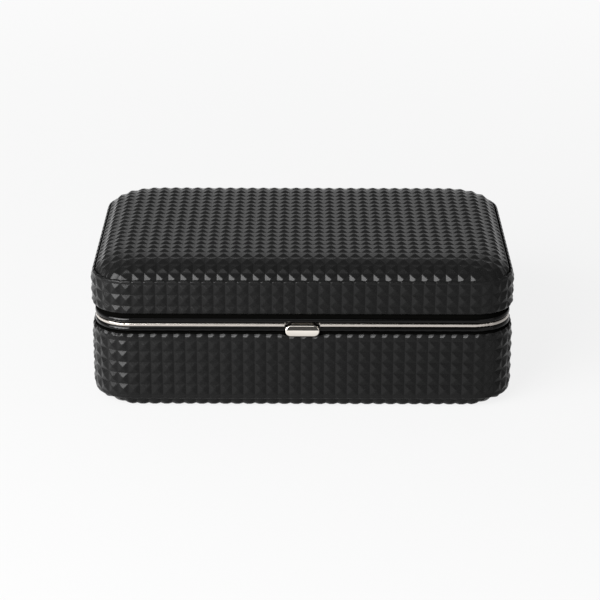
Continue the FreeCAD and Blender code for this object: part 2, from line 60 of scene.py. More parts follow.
CROWN_TOP, CROWN_RISE, CROWN_WIDE, CROWN_POWER = 81.9, 8.2, 22.5, 3.4
LIP_RISE, LIP_WIDE, CAMBER = 1.3, 1.0, 0.3
FOOT_HIGH, FOOT_WIDE, FOOT_POWER, FOOT_EASE = 5.4, 2.8, 2.4, 0.65
BUTTON = (18.4, 6.2, 45.65)
BUTTON_FRONT, BUTTON_BACK = -74.1, -71.9
BUTTON_BULGE, BUTTON_LEAN, BUTTON_EDGE, BUTTON_TIP = 9.0, 1.2, 0.6, 0.15
SPRING_SHEET = 0.35
LINED = 8.2
FLOOR = 11.8
BASE_RIM = 46.55
LID_RIM = 49.45
CEILING = 64.4
CARD = 1.8
MIRROR = (150.0, 90.0, 8.0)

# The studs: height, pitches, shifts of their valleys by shares of a stud, points to a stud, rounding,
# the distance over which they rise from a seam, and the angle past which an edge stays sharp.
STUD_HIGH = 1.2
PITCH_LONG, PITCH_SHORT = 6.43, 6.22
LID_SHIFTS, BOTTOM_SHIFTS = (-0.1, 0.82), (0.0, 0.16)
STUD_STEPS, BOTTOM_STEPS = 10, 6
TIP_ROUND, VALLEY_ROUND = 0.010, 0.002
SEAM_FADE = 0.5
CRISP = math.radians(35)

# The bands: gaps inside the solid and at its cut edges, how far a cut edge turns, points on a rolled
# edge, which of them is a bend and which are rows, how studs sink where the skin leans, and the dip
# behind the button.
SKIN_GAP, CUT = 0.05, 0.2
EDGE_TURN = CUT / 9
ROLL_STEPS, ROLL_BEND, ROLL_STRIDE = 60, 37, 12
LEAN_FLAT, LEAN_SPAN, LEAN_LEAST = 0.05, 0.5, 0.2
DIP_MARGIN, DIP_FADE, DIP_DEEP = 2.5, 2.0, 6.0

# The leather panels: points on which a profile's length is measured, and their back, by its depth
# behind the skin and the sizes of its rings.
PROFILE_STEPS = 4000
BACK_DEEP, BACK_SHARES = 1.1, (0.988, 0.965, 0.93, 0.88, 0.8, 0.65, 0.4)


# Meshes

def quads(rows, columns, ring=False, shut=False):
    """Corner numbers of a grid's cells, row by row; ring joins its columns round, and shut its rows."""
    cells = np.arange(rows - (not shut)), np.arange(columns - (not ring))
    row, column = np.meshgrid(*cells, indexing="ij")
    below, after = (row + 1) % rows * columns, (column + 1) % columns
    row = row * columns
    return np.stack([row + column, row + after, below + after, below + column], axis=-1).reshape(-1, 4)


def caps(rows, columns):
    """The two faces that close the first and the last row of a grid whose columns are a ring."""
    first = np.arange(columns)
    return np.stack([first[::-1], first + (rows - 1) * columns])


def piece(name, points, blocks, body, node, slot, material):
    """One object from points in millimetres and blocks of faces, in the place of a CAD node.

    It rides on a body, or on none when no body is given.
    """
    mesh = bpy.data.meshes.new(name)
    faces = [face for block in blocks for face in block.tolist()]
    mesh.from_pydata((points.reshape(-1, 3) * MM).tolist(), [], faces)
    mesh.polygons.foreach_set("use_smooth", np.ones(len(mesh.polygons), dtype=bool))
    mesh.validate()
    mesh.set_sharp_from_angle(angle=CRISP)
    made = bpy.data.objects.new(name, mesh)
    bpy.context.collection.objects.link(made)
    mesh.materials.append(material)
    if body:
        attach(made, body)
    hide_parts(node)
    return made


def around(run, inset):
    """Points and outward normals on the case's outline.

    run is the length along the outline from the middle of the front, to the right. The normal's
    angle grows by a quarter turn over each corner, and the corner's centre moves along the inner
    rectangle between corners; the point is that centre plus the reduced radius along the normal.
    """
    half_x, half_y, turn = WIDTH / 2 - CORNER, DEPTH / 2 - CORNER, math.pi * CORNER / 2
    starts = np.cumsum([half_x, turn + 2 * half_y, turn + 2 * half_x, turn + 2 * half_y])
    angle = -math.pi / 2 + sum(np.clip((run - start) / turn, 0, 1) * math.pi / 2 for start in starts)
    right, back, left, front = (run - start - turn for start in starts)
    x = np.clip(run, 0, half_x) - np.clip(back, 0, 2 * half_x) + np.clip(front, 0, half_x)
    y = -half_y + np.clip(right, 0, 2 * half_y) - np.clip(left, 0, 2 * half_y)
    normal = np.stack([np.cos(angle), np.sin(angle)], axis=-1)
    return np.stack([x, y], axis=-1) + (CORNER - inset)[..., None] * normal, normal


def girth():
    """Length of the case's outline."""
    return 2 * (WIDTH + DEPTH) - 8 * CORNER + 2 * math.pi * CORNER


def stud(across, along):
    """Height from 0 to 1 of rows of pyramids, with valleys at whole numbers.

    One minus the larger of the two distances from the middle of a cell, with a rounded tip and a
    rounded valley: each corner of the straight profile is replaced by a hyperbola.
    """
    a = np.abs(2 * (across - np.floor(across)) - 1)
    b = np.abs(2 * (along - np.floor(along)) - 1)
    height = 1 - np.sqrt(np.maximum(a, b) ** 2 + TIP_ROUND)
    return (height + np.sqrt(height * height + VALLEY_ROUND)) / 2


def ridged(across, along, cells, outward):
    """Split each cell of a grid along the ridge of the pyramid it lies on, into two triangles."""
    sides = []
    for value in (across, along):
        corners = value.reshape(-1)[cells]
        offsets = (corners - corners[:, :1] + 0.5) % 1 - 0.5
        sides.append((corners[:, 0] + offsets.mean(axis=1)) % 1 - 0.5)
    rising = (sides[0] * sides[1] > 0)[:, None]
    one = np.where(rising, cells[:, [0, 1, 2]], cells[:, [1, 2, 3]])
    two = np.where(rising, cells[:, [0, 2, 3]], cells[:, [1, 3, 0]])
    halves = np.concatenate([one, two])
    return halves if outward else halves[:, ::-1]


def leather_band(low, high, rolls, row_apex, phase, dip):
    """A band of studded leather round the case, with both edges rolled in.

    Along its profile the skin turns a quarter oval over the top edge, runs straight down and turns a
    quarter oval under the bottom edge; rolls are the heights of the two ovals, and their width is
    the thickness of the leather inside the studs. Embossed leather bends between its studs, so each
    stud stands on a flat cell: in plan and over the top edge the skin runs straight from one valley
    to the next, with one more bend at the edge. Each point is raised along its cell's normal by the
    height of the studs, which fade out under the bottom edge. The cut edges close to the board, and
    a plain back wall joins them. dip lowers the upper edge behind the button.
    """
    count = round(girth() / PITCH_SHORT)
    pitch = girth() / count
    thick = LEATHER - STUD_HIGH - SKIN_GAP
    turn = np.linspace(0, math.pi / 2, ROLL_STEPS)
    top, bottom = high - CUT - rolls[0], low + CUT + rolls[1]
    side = np.concatenate([thick * np.cos(turn[::-1]), thick * np.cos(turn)])
    rise = np.concatenate([top + rolls[0] * np.sin(turn[::-1]), bottom - rolls[1] * np.sin(turn)])
    skin = np.concatenate([[0], np.cumsum(np.hypot(np.diff(side), np.diff(rise)))])
    over, under = skin[ROLL_STEPS - 1], skin[ROLL_STEPS:]
    valley = (over + top - row_apex + PITCH_LONG / 2) % PITCH_LONG
    knots = np.concatenate([[0, skin[ROLL_BEND]], np.arange(valley, under[0], PITCH_LONG), under])
    side, rise = np.interp(knots, skin, side), np.interp(knots, skin, rise)
    leans = np.arctan2(np.diff(side), -np.diff(rise))
    step, end = PITCH_LONG / STUD_STEPS, knots[-1]
    cuts = [0, EDGE_TURN, skin[ROLL_BEND], end - EDGE_TURN, end]
    levels = np.concatenate([np.arange(valley % step, end, step), under[::ROLL_STRIDE], cuts])
    levels = np.unique(levels.round(6))
    across, depth = np.meshgrid(np.arange(count * STUD_STEPS) / STUD_STEPS, levels, indexing="xy")
    along = (depth - valley) / PITCH_LONG
    lean = leans[np.clip(np.searchsorted(knots, depth, side="right") - 1, 0, len(leans) - 1)]
    edges = np.clip(np.minimum(depth / EDGE_TURN, (end - depth) / (end - under[0])), 0, 1)
    upright = np.clip((np.cos(lean) - LEAN_FLAT) / LEAN_SPAN, LEAN_LEAST, 1)
    lift = STUD_HIGH * stud(across, along) * upright * edges
    inset = LEATHER - SKIN_GAP - np.interp(depth, knots, side)
    cell = np.floor(across)
    start, _ = around((cell - phase) % count * pitch, inset)
    stop, _ = around((cell + 1 - phase) % count * pitch, inset)
    chord = (stop - start) / np.linalg.norm(stop - start, axis=-1, keepdims=True)
    normal = np.stack([chord[..., 1], -chord[..., 0]], axis=-1)
    place = start + (stop - start) * (across - cell)[..., None]
    place = place + normal * (np.cos(lean) * lift)[..., None]
    z = np.interp(depth, knots, rise) + np.sin(lean) * lift
    near = np.clip((BUTTON[0] / 2 + DIP_MARGIN - np.abs(place[..., 0])) / DIP_FADE, 0, 1)
    z = z - dip * near * (place[..., 1] < 0) * np.clip((z - high + DIP_DEEP) / DIP_DEEP, 0, 1)
    points = np.concatenate([place, z[..., None]], axis=-1)
    return points, [ridged(across, along, quads(*across.shape, True, True), False)]


def panel_depth(x, y, ease=0.0):
    """Distance in from the panel's outline, negative outside.

    The lines of equal distance are rounded rectangles of one corner radius, so in a corner the
    distance solves a quadratic in the distances p and q from the two sides. ease is the share of the
    distance that is taken off in the corners, so that a slope runs wider there.
    """
    radius = CORNER - PANEL_INSET
    p = WIDTH / 2 - PANEL_INSET - np.abs(x)
    q = DEPTH / 2 - PANEL_INSET - np.abs(y)
    corner = (p + q + np.sqrt(np.maximum(2 * radius ** 2 - (p - q) ** 2, 0))) / 2 - radius
    depth = np.where(np.abs(p - q) < radius, corner, np.minimum(p, q))
    return depth * (1 - ease * np.clip(1 - ((p - q) / radius) ** 2, 0, 1))


def leather_panel(profile, sign, shifts, steps, bends, ease=0.0):
    """A panel of studded leather over a height profile.

    profile gives height by distance in from the outline. The valleys between the studs are counted
    along the curved skin, so they close up in plan where the panel slopes. The skin is made of flat
    cells, as many to a stud as it has bends: the corners of the cells lie on the profile, and the
    skin between them is interpolated both ways. Points outside the outline are pulled back to it, and
    each point is raised along its cell's normal by the height of the studs. shifts move the valleys
    along X and Y by shares of a stud, and ease widens the slope in the corners.
    """
    radius = CORNER - PANEL_INSET
    halves = (WIDTH / 2 - PANEL_INSET, DEPTH / 2 - PANEL_INSET)
    counts, lines = [], []
    for half, pitch, shift in zip(halves, (PITCH_LONG, PITCH_SHORT), shifts):
        plan = np.linspace(0, half + 2 * pitch, PROFILE_STEPS)
        slope = np.gradient(profile(half - plan), plan)
        skin = np.concatenate([[0], np.cumsum(np.hypot(1, slope[1:]) * np.diff(plan))])
        reach = math.ceil(np.interp(half, plan, skin) / pitch) + 1
        counts.append(np.arange(-reach * bends, reach * bends + 1) / bends)
        along_skin = (counts[-1] + shift) * pitch
        lines.append(np.sign(along_skin) * np.interp(np.abs(along_skin), skin, plan))
    corner_x, corner_y = np.meshgrid(*lines, indexing="ij")
    corner_z = profile(panel_depth(corner_x, corner_y, ease))

    fine = [np.arange(count[0] * steps, count[-1] * steps + 1) / steps for count in counts]
    across, along = np.meshgrid(*fine, indexing="ij")
    x, y = np.meshgrid(*(np.interp(f, c, l) for f, c, l in zip(fine, counts, lines)), indexing="ij")
    inside = panel_depth(x, y) > -1e-6
    core_x = np.clip(x, CORNER - WIDTH / 2, WIDTH / 2 - CORNER)
    core_y = np.clip(y, CORNER - DEPTH / 2, DEPTH / 2 - CORNER)
    away = np.maximum(np.hypot(x - core_x, y - core_y), 1e-9)
    x = np.where(inside, x, core_x + (x - core_x) / away * radius)
    y = np.where(inside, y, core_y + (y - core_y) / away * radius)
    f, g = (np.interp(v, line, np.arange(len(line))) for v, line in zip((x, y), lines))
    i, j = (np.clip(v.astype(int), 0, len(line) - 2) for v, line in zip((f, g), lines))
    f, g = f - i, g - j
    front = corner_z[i, j] * (1 - f) + corner_z[i + 1, j] * f
    back = corner_z[i, j + 1] * (1 - f) + corner_z[i + 1, j + 1] * f
    rise_front, rise_back = (corner_z[i + 1, k] - corner_z[i, k] for k in (j, j + 1))
    tilt_x = (rise_front * (1 - g) + rise_back * g) / (lines[0][i + 1] - lines[0][i])
    tilt_y = (back - front) / (lines[1][j + 1] - lines[1][j])
    normal = np.stack([-tilt_x, -tilt_y, np.ones_like(x)], axis=-1)
    normal = sign * normal / np.linalg.norm(normal, axis=-1, keepdims=True)
    fade = np.clip(panel_depth(x, y) / SEAM_FADE, 0, 1)
    lift = (STUD_HIGH * stud(across, along) * fade)[..., None]
    points = np.stack([x, y, front * (1 - g) + back * g], axis=-1) + normal * lift
    cells = quads(*x.shape)
    cells = cells[inside.reshape(-1)[cells].any(axis=1)]
    halves = ridged(across, along, cells, sign < 0)
    used, halves = np.unique(halves, return_inverse=True)
    return backed(points.reshape(-1, 3)[used], halves.reshape(-1, 3), profile, sign, ease)


def backed(points, halves, profile, sign, ease):
    """Close a panel behind its studs with the plain back of the leather.

    The free edge of the panel, in the order of its angle round the middle, is the first of a row of
    rings; the next ones shrink towards the middle and follow the profile, BACK_DEEP behind it.
    """
    edges = np.concatenate([halves[:, [0, 1]], halves[:, [1, 2]], halves[:, [2, 0]]])
    total = len(points)
    free = edges[~np.isin(edges @ [total, 1], edges @ [1, total])][:, 0]
    free = free[np.argsort(np.arctan2(points[free, 1], points[free, 0]))]
    plan = points[free, :2] * np.array(BACK_SHARES)[:, None, None]
    height = profile(panel_depth(plan[..., 0], plan[..., 1], ease)) - sign * BACK_DEEP
    back = np.concatenate([plan, height[..., None]], axis=-1).reshape(-1, 3)
    rings = np.concatenate([free, total + np.arange(len(back))]).reshape(-1, len(free))
    blocks = [rings.reshape(-1)[quads(*rings.shape, True)], rings[-1:]]
    return np.concatenate([points, back]), [halves] + (turned(blocks) if sign > 0 else blocks)


def crown(depth):
    """Height of the padded lid's skin, by the distance in from its seam.

    From the top it falls by a power of the share of the slope still to go, and once more near the
    seam, by an exponential, where the skin turns down over a lip. The crown swells a little further
    towards its middle by one minus a square.
    """
    slope = CROWN_RISE * (1 - np.minimum(depth / CROWN_WIDE, 1)) ** CROWN_POWER
    swell = 1 - (1 - np.clip(depth / (DEPTH / 2), 0, 1)) ** 2
    return CROWN_TOP - slope - LIP_RISE * np.exp(-depth / LIP_WIDE) + CAMBER * swell


def underside(depth):
    """Height of the bottom panel's skin: flat on the table, rounded up at its edge."""
    share = np.minimum(depth / FOOT_WIDE, 1)
    return STUD_HIGH + (FOOT_HIGH - STUD_HIGH) * (1 - share) ** FOOT_POWER


def loop(width, depth, radius, steps=12):
    """Points round a rounded rectangle, with the same number on every corner and every side."""
    quarter = np.linspace(0, math.pi / 2, steps)
    turns = (np.arange(4)[:, None] * math.pi / 2 + quarter[None, :] - math.pi / 2).reshape(-1)
    side_x = np.repeat([1, 1, -1, -1], steps) * (width / 2 - radius)
    side_y = np.repeat([-1, 1, 1, -1], steps) * (depth / 2 - radius)
    return np.stack([side_x + radius * np.cos(turns), side_y + radius * np.sin(turns)], axis=-1)


def basin(rows, shut, steps=12):
    """A shell through rounded rectangles, each given as width, depth, corner radius and height.

    A shut one comes round from its last row to its first, and any other has a cap at both ends.
    """
    rings = [np.column_stack([loop(*row[:3], steps), np.full(4 * steps, row[3])]) for row in rows]
    size = (len(rows), 4 * steps)
    return np.stack(rings), [quads(*size, True, True)] if shut else [quads(*size, True), caps(*size)]


def turned(blocks):
    """The same faces, seen from their other side."""
    return [block[:, ::-1] for block in blocks]


def in_mm(box):
    """The two corners of a box of the frame, in millimetres."""
    return [np.array(corner) / MM for corner in box]


# Materials

def colour(text):
    """A hex colour, turned from sRGB to linear."""
    parts = [int(text[i:i + 2], 16) / 255 for i in (1, 3, 5)]
    return tuple(c / 12.92 if c <= 0.04045 else ((c + 0.055) / 1.055) ** 2.4 for c in parts) + (1.0,)


def feed(tree, node, **inputs):
    """Set a node's inputs to values, or link them from other sockets; i0 is the first input."""
    for key, value in inputs.items():
        numbered = key[0] == "i" and key[1:].isdigit()
        socket = node.inputs[int(key[1:]) if numbered else key.replace("_", " ")]
        if isinstance(value, bpy.types.NodeSocket):
            tree.links.new(value, socket)
        else:
            socket.default_value = value


def add(tree, kind, settings=None, **inputs):
    """One node, with its settings and its inputs."""
    made = tree.nodes.new(kind)
    for key, value in (settings or {}).items():
        setattr(made, key, value)
    feed(tree, made, **inputs)
    return made


def finish(name):
    """An empty material with its output, shader and object coordinates."""
    made = bpy.data.materials.new(name)
    made.use_nodes = True
    tree = made.node_tree
    tree.nodes.clear()
    shader = add(tree, "ShaderNodeBsdfPrincipled")
    output = add(tree, "ShaderNodeOutputMaterial")
    feed(tree, output, Surface=shader.outputs[0])
    place = add(tree, "ShaderNodeTexCoord").outputs["Object"]
    return made, tree, shader, place


def per_mm(size):
    """Scale of a noise whose grains are about a size in millimetres."""
    return 1000.0 / size


def embossed_leather():
    """Pigmented calf leather, pressed with pyramids: near black, a soft sheen and a fine pore."""
    made, tree, shader, place = finish("embossed_calf_leather")
    pore = add(tree, "ShaderNodeTexVoronoi", {"feature": "DISTANCE_TO_EDGE"},
               Vector=place, Scale=per_mm(0.7))
    crease = add(tree, "ShaderNodeTexNoise", None,
                 Vector=place, Scale=per_mm(0.9), Detail=3.0, Roughness=0.6)
    rub = add(tree, "ShaderNodeTexNoise", None, Vector=place, Scale=per_mm(26.0), Detail=2.0)
    tone = add(tree, "ShaderNodeMix", {"data_type": "RGBA"},
               Factor=rub.outputs[0], i6=colour("#0d0d0d"), i7=colour("#111111"))
    sheen = add(tree, "ShaderNodeMapRange", None, Value=crease.outputs[0], To_Min=0.22, To_Max=0.32)
    grain = add(tree, "ShaderNodeMath", {"operation": "ADD"},
                i0=crease.outputs[0], i1=pore.outputs["Distance"])
    bump = add(tree, "ShaderNodeBump", None, Height=grain.outputs[0], Strength=0.10, Distance=0.2 * MM)
    feed(tree, shader, Base_Color=tone.outputs[2], Roughness=sheen.outputs[0], Normal=bump.outputs[0],
         IOR=1.25)
    return made


def black_lacquer():
    """Stoved black lacquer on drawn steel: deep gloss with a slight orange peel."""
    made, tree, shader, place = finish("stoved_black_lacquer")
    peel = add(tree, "ShaderNodeTexNoise", None, Vector=place, Scale=per_mm(2.5), Detail=1.0)
    haze = add(tree, "ShaderNodeTexNoise", None, Vector=place, Scale=per_mm(14.0), Detail=3.0)
    bump = add(tree, "ShaderNodeBump", None, Height=peel.outputs[0], Strength=0.015, Distance=0.1 * MM)
    gloss = add(tree, "ShaderNodeMapRange", None, Value=haze.outputs[0], To_Min=0.08, To_Max=0.13)
    feed(tree, shader, Base_Color=colour("#030303"), Roughness=gloss.outputs[0], Normal=bump.outputs[0],
         IOR=1.29)
    return made


def plated(name, light, dark, smooth, rough):
    """Plated or polished metal: a mirror with faint polishing lines that lie along the rim."""
    made, tree, shader, place = finish(name)
    lines = add(tree, "ShaderNodeMapping", None,
                Vector=place, Scale=(per_mm(9.0), per_mm(9.0), per_mm(0.18)))
    scratch = add(tree, "ShaderNodeTexNoise", None, Vector=lines.outputs[0], Scale=1.0, Detail=2.0)
    cloud = add(tree, "ShaderNodeTexNoise", None, Vector=place, Scale=per_mm(7.0), Detail=2.0)
    tone = add(tree, "ShaderNodeMix", {"data_type": "RGBA"},
               Factor=cloud.outputs[0], i6=colour(dark), i7=colour(light))
    gloss = add(tree, "ShaderNodeMapRange", None, Value=scratch.outputs[0], To_Min=smooth, To_Max=rough)
    bump = add(tree, "ShaderNodeBump", None,
               Height=scratch.outputs[0], Strength=0.012, Distance=0.05 * MM)
    feed(tree, shader, Base_Color=tone.outputs[2], Roughness=gloss.outputs[0], Normal=bump.outputs[0],
         Metallic=1.0)
    return made


def suede():
    """Suede cloth: taupe, matt, with a short nap that lies in soft patches."""
    made, tree, shader, place = finish("suede_cloth")
    nap = add(tree, "ShaderNodeTexNoise", None,
              Vector=place, Scale=per_mm(0.5), Detail=4.0, Roughness=0.7)
    brushed = add(tree, "ShaderNodeTexNoise", None,
                  Vector=place, Scale=per_mm(22.0), Detail=3.0, Distortion=1.2)
    both = add(tree, "ShaderNodeMath", {"operation": "MULTIPLY_ADD"},
               i0=nap.outputs[0], i1=0.35, i2=brushed.outputs[0])
    tone = add(tree, "ShaderNodeValToRGB", None, Fac=both.outputs[0])
    stops = ((0.35, "#5a4d43"), (0.95, "#746557"))
    for element, (position, shade) in zip(tone.color_ramp.elements, stops):
        element.position = position
        element.color = colour(shade)
    bump = add(tree, "ShaderNodeBump", None, Height=nap.outputs[0], Strength=0.35, Distance=0.3 * MM)
    feed(tree, shader, Base_Color=tone.outputs[0], Roughness=0.95, Normal=bump.outputs[0],
         Sheen_Weight=0.35, Sheen_Roughness=0.4, Sheen_Tint=colour("#c8b8a4"), Specular_IOR_Level=0.2)
    return made


def looking_glass():
    """Silvered float glass: a clean mirror with a trace of haze."""
    made, tree, shader, place = finish("silvered_glass")
    haze = add(tree, "ShaderNodeTexNoise", None, Vector=place, Scale=per_mm(40.0), Detail=2.0)
    gloss = add(tree, "ShaderNodeMapRange", None, Value=haze.outputs[0], To_Min=0.01, To_Max=0.04)
    feed(tree, shader, Base_Color=colour("#e6eaea"), Roughness=gloss.outputs[0], Metallic=1.0)
    return made


def fibre(name, dark, light, size, rough):
    """A plain fibrous stuff, board or wadding, mottled at the size of its fibres."""
    made, tree, shader, place = finish(name)
    fleck = add(tree, "ShaderNodeTexNoise", None,
                Vector=place, Scale=per_mm(size), Detail=5.0, Roughness=0.65)
    tone = add(tree, "ShaderNodeMix", {"data_type": "RGBA"},
               Factor=fleck.outputs[0], i6=colour(dark), i7=colour(light))
    bump = add(tree, "ShaderNodeBump", None, Height=fleck.outputs[0], Strength=0.25, Distance=0.3 * MM)
    feed(tree, shader, Base_Color=tone.outputs[2], Roughness=rough, Normal=bump.outputs[0],
         Specular_IOR_Level=0.0)
    return made


LEATHER_FINISH = embossed_leather()
LACQUER = black_lacquer()
NICKEL = plated("polished_nickel", "#d2cbc4", "#c4beb7", 0.16, 0.22)
BUTTON_NICKEL = plated("buffed_nickel", "#efe9e1", "#e2dcd3", 0.03, 0.06)
PLATED_STEEL = plated("plated_steel", "#cfcac2", "#b9b4ac", 0.2, 0.36)
SPRING_STEEL = plated("blued_spring_steel", "#6d7079", "#565a64", 0.25, 0.4)
SUEDE = suede()
GLASS = looking_glass()
# Painted shade: the carcass board is near black, so that where it shows between the beads and the
# leather it stands in for the shade of the grooves.
GROOVE_SHADE_BOARD = fibre("board_black_as_painted_groove_shade", "#040404", "#070706", 0.8, 0.95)
WADDING = fibre("cotton_wadding", "#cfc9bc", "#e8e3d8", 2.0, 0.95)


# The case

def leather_pieces():
    """Lid top, both bands and the bottom panel."""
    finish_of = ("studded_leather", LEATHER_FINISH)
    shell = leather_panel(crown, sign=1, shifts=LID_SHIFTS, steps=STUD_STEPS, bends=1)
    top = piece("lid_top", *shell, "lid", "lid_top_leather", *finish_of)
    shell = leather_band(*LID_BAND, rolls=(1.0, 2.2), row_apex=62.5, phase=0.62, dip=0.0)
    piece("lid_band", *shell, "lid", "lid_side_leather", *finish_of)
    shell = leather_band(*BASE_BAND, rolls=(2.6, 2.4), row_apex=23.5, phase=0.12, dip=0.7)
    piece("base_band", *shell, "base", "base_side_leather", *finish_of)
    shell = leather_panel(underside, sign=-1, shifts=BOTTOM_SHIFTS, steps=BOTTOM_STEPS,
                          bends=BOTTOM_STEPS, ease=FOOT_EASE)
    bottom = piece("bottom_panel", *shell, "base", "base_bottom_panel", *finish_of)


def lining_ring(grow, height):
    """A ring of a lining, wider and deeper than the room inside it by grow, as a row of a basin."""
    return WIDTH - 2 * LINED + grow, DEPTH - 2 * LINED + grow, CORNER - LINED + grow / 2, height


def linings():
    """Tray lining, lid lining and the mirror's surround: suede over card, with rounded edges.

    Both linings follow two rows of rings: a rim that folds over the edge of the card, and a cove that
    rounds off the corner at the floor. Each ring is given by how much it is wider than the room
    inside, and by its height over the rim or the floor; in the lid they stand upside down. The
    surround is a superellipse section, carried round the mirror.
    """
    finish_of = ("suede_lining", SUEDE)
    cloth, mirror_room = 1.0, 0.5
    rim = ((2.2, -0.6), (1.8, -0.1), (1.2, 0.0), (0.4, -0.3), (0.0, -1.5))
    cove = ((0.0, 4.0), (-0.5, 2.0), (-2.2, 0.6), (-5.0, 0.0))
    outer = rim[0][0]
    rows = [lining_ring(outer, FLOOR - cloth)]
    rows += [lining_ring(grow, BASE_RIM + rise) for grow, rise in rim]
    rows += [lining_ring(grow, FLOOR + rise) for grow, rise in cove]
    piece("tray_lining", *basin(rows, False), "base", "base_lining", *finish_of)

    wide, deep, corner = MIRROR
    opening = (wide + 2 * mirror_room, deep + 2 * mirror_room, corner + mirror_room)
    rows = [lining_ring(grow, LID_RIM - rise) for grow, rise in rim]
    rows += [lining_ring(grow, CEILING - rise) for grow, rise in cove]
    rows += [(*opening, CEILING + rise) for rise in (0, CARD)]
    rows += [lining_ring(outer, CEILING + CARD)]
    points, blocks = basin(rows, True)
    piece("lid_cover", points, turned(blocks), "lid", "lid_lining", *finish_of)

    half_wide, half_thick, outside = 5.0, 0.9, 1.0
    turn = np.linspace(0, 2 * math.pi, 17)[:-1]
    across = half_wide * np.sign(np.cos(turn)) * np.abs(np.cos(turn)) ** 0.6
    down = half_thick * np.sign(np.sin(turn)) * np.abs(np.sin(turn)) ** 0.8
    grow = 2 * (outside + across)
    rows = [wide + grow, deep + grow, corner + grow / 2, CEILING - half_thick + down]
    piece("mirror_edge", *basin(np.stack(rows, axis=-1), True), "lid", "mirror_surround", *finish_of)


def ring_rolls():
    """Six crowned rolls of foam under suede.

    The section is a superellipse, round above and square below, that narrows towards its ends by
    the fourth root of one minus the tenth power of the share of the length. A ripple of two sines
    keeps the suede from looking turned.
    """
    turn = np.linspace(0, 2 * math.pi, 49)[:-1]
    along = np.sin(np.linspace(-math.pi / 2, math.pi / 2, 41))
    turn, along = np.meshgrid(turn, along, indexing="xy")
    upper = np.sin(turn) > 0
    narrow = (1 - np.abs(along) ** 10) ** 0.25
    side = np.sign(np.cos(turn)) * np.abs(np.cos(turn)) ** np.where(upper, 0.8, 0.35)
    rise = np.sign(np.sin(turn)) * np.abs(np.sin(turn)) ** np.where(upper, 0.85, 0.28)
    side = side * (0.3 + 0.7 * narrow)
    rise = rise * np.where(upper, 0.55 + 0.45 * narrow, 1.0)
    gap, ripple_high, ripple_side = 0.15, 0.12, 0.3
    for index in range(1, 7):
        node = f"ring_roll_{index}"
        low, high = in_mm(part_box(node))
        middle, half = (low + high) / 2, (high - low) / 2
        ripple = ripple_high * np.sin(along * 23 + index) * np.cos(turn * 3 + index * 2)
        x = middle[0] + along * half[0]
        y = middle[1] + side * (half[1] - gap) + ripple * ripple_side
        z = middle[2] + rise * half[2] + np.where(upper, ripple, 0)
        points, blocks = np.stack([x, y, z], axis=-1), [quads(*x.shape, True), caps(*x.shape)]
        roll = piece(f"foam_roll_{index}", points, blocks, "base", node, "suede_lining", SUEDE)


def dividers():
    """Covered cards: straight sides under a half round edge, carried from wall to wall.

    A sine of a small height, that grows from the floor up, lets the card wave a little.
    """
    wave_high, wave_long = 0.08, 9.0
    turn = np.linspace(0, math.pi, 13)
    for name in ("cross_divider_left", "cross_divider_right", "roll_divider", "left_divider"):
        low, high = in_mm(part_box(name))
        centre, size = (low + high) / 2, high - low
        long_y = size[1] > size[0]
        radius, length = min(size[:2]) / 2, max(size[:2])
        edge = np.stack([radius * np.cos(turn), size[2] - radius + radius * np.sin(turn)], axis=-1)
        left = np.stack([np.full(6, -radius), np.linspace(size[2] * 0.85, 0, 6)], axis=-1)
        section = np.concatenate([left[::-1] * [-1, 1], edge, left])
        run = np.linspace(-length / 2, length / 2, 60)
        along, across = np.meshgrid(run, section[:, 0], indexing="ij")
        up = np.broadcast_to(section[:, 1], along.shape)
        across = across + wave_high * np.sin(along / wave_long) * (up / size[2])
        x, y = (across, along) if long_y else (along, across)
        points = np.stack([centre[0] + x, centre[1] + y, low[2] + up], axis=-1)
        blocks = [quads(*x.shape, True), caps(*x.shape)]
        blocks = turned(blocks) if long_y else blocks
        piece(name + "_cover", points, blocks, "base", name, "suede_lining", SUEDE)


def button_face():
    """The button: a stadium whose face bulges as a round bar does, with a rounded edge.

    The bar's axis runs along X, below the middle of the stadium; near the edge the face falls back by
    one minus the root of one minus the square of the share of the edge's width.
    """
    width, height, centre = BUTTON
    steps, nearly_round = 24, 0.999
    turn = np.linspace(0, math.pi / 2, 9)
    face = np.linspace(height / 2 - BUTTON_EDGE, BUTTON_TIP, 14)[1:]
    radii = np.concatenate([[height / 2], height / 2 - BUTTON_EDGE * (1 - np.cos(turn)), face])
    falls = np.concatenate([[0], BUTTON_EDGE * (1 - np.sin(turn)), 0 * face])
    rings = []
    for radius, fall in zip(radii, falls):
        flat = loop(width - height + 2 * radius, 2 * radius, radius * nearly_round, steps)
        bulge = BUTTON_BULGE - np.sqrt(BUTTON_BULGE ** 2 - (flat[:, 1] + BUTTON_LEAN) ** 2)
        rings.append(np.stack([flat[:, 0], BUTTON_FRONT + bulge + fall, centre + flat[:, 1]], axis=-1))
    rings[0][:, 1] = BUTTON_BACK
    points, size = np.stack(rings), (len(rings), 4 * steps)
    blocks = [quads(*size, True), caps(*size)]
    piece("button_dome", points, blocks, "button", "button_cap", "polished_nickel", BUTTON_NICKEL)


def bow_spring():
    """The catch's spring: a bowed strip, which the button presses flatter in the catch; here it is made
    in one shape and rides on no body.

    The strip is an arc through its two ends and its middle, carried up by its width. Its ends lean
    on the housing's back wall.
    """
    low, high = in_mm(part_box("catch_spring"))
    half, bow = high[0], high[1] - low[1] - SPRING_SHEET
    outer = (half ** 2 + bow ** 2) / (2 * bow)
    reach = math.asin(half / outer)
    faces = outer - np.array([0, 0, 1, 1]) * SPRING_SHEET
    turn, radius = np.meshgrid(np.linspace(-reach, reach, 49), faces, indexing="ij")
    x, y = radius * np.sin(turn), low[1] + outer - radius * np.cos(turn)
    z = 0 * x + np.array([low[2], high[2], high[2], low[2]])
    points, blocks = np.stack([x, y, z], axis=-1), turned([quads(*x.shape, True), caps(*x.shape)])
    spring = piece("bow_spring", points, blocks, None, "catch_spring", "spring_steel", SPRING_STEEL)
    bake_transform(spring)


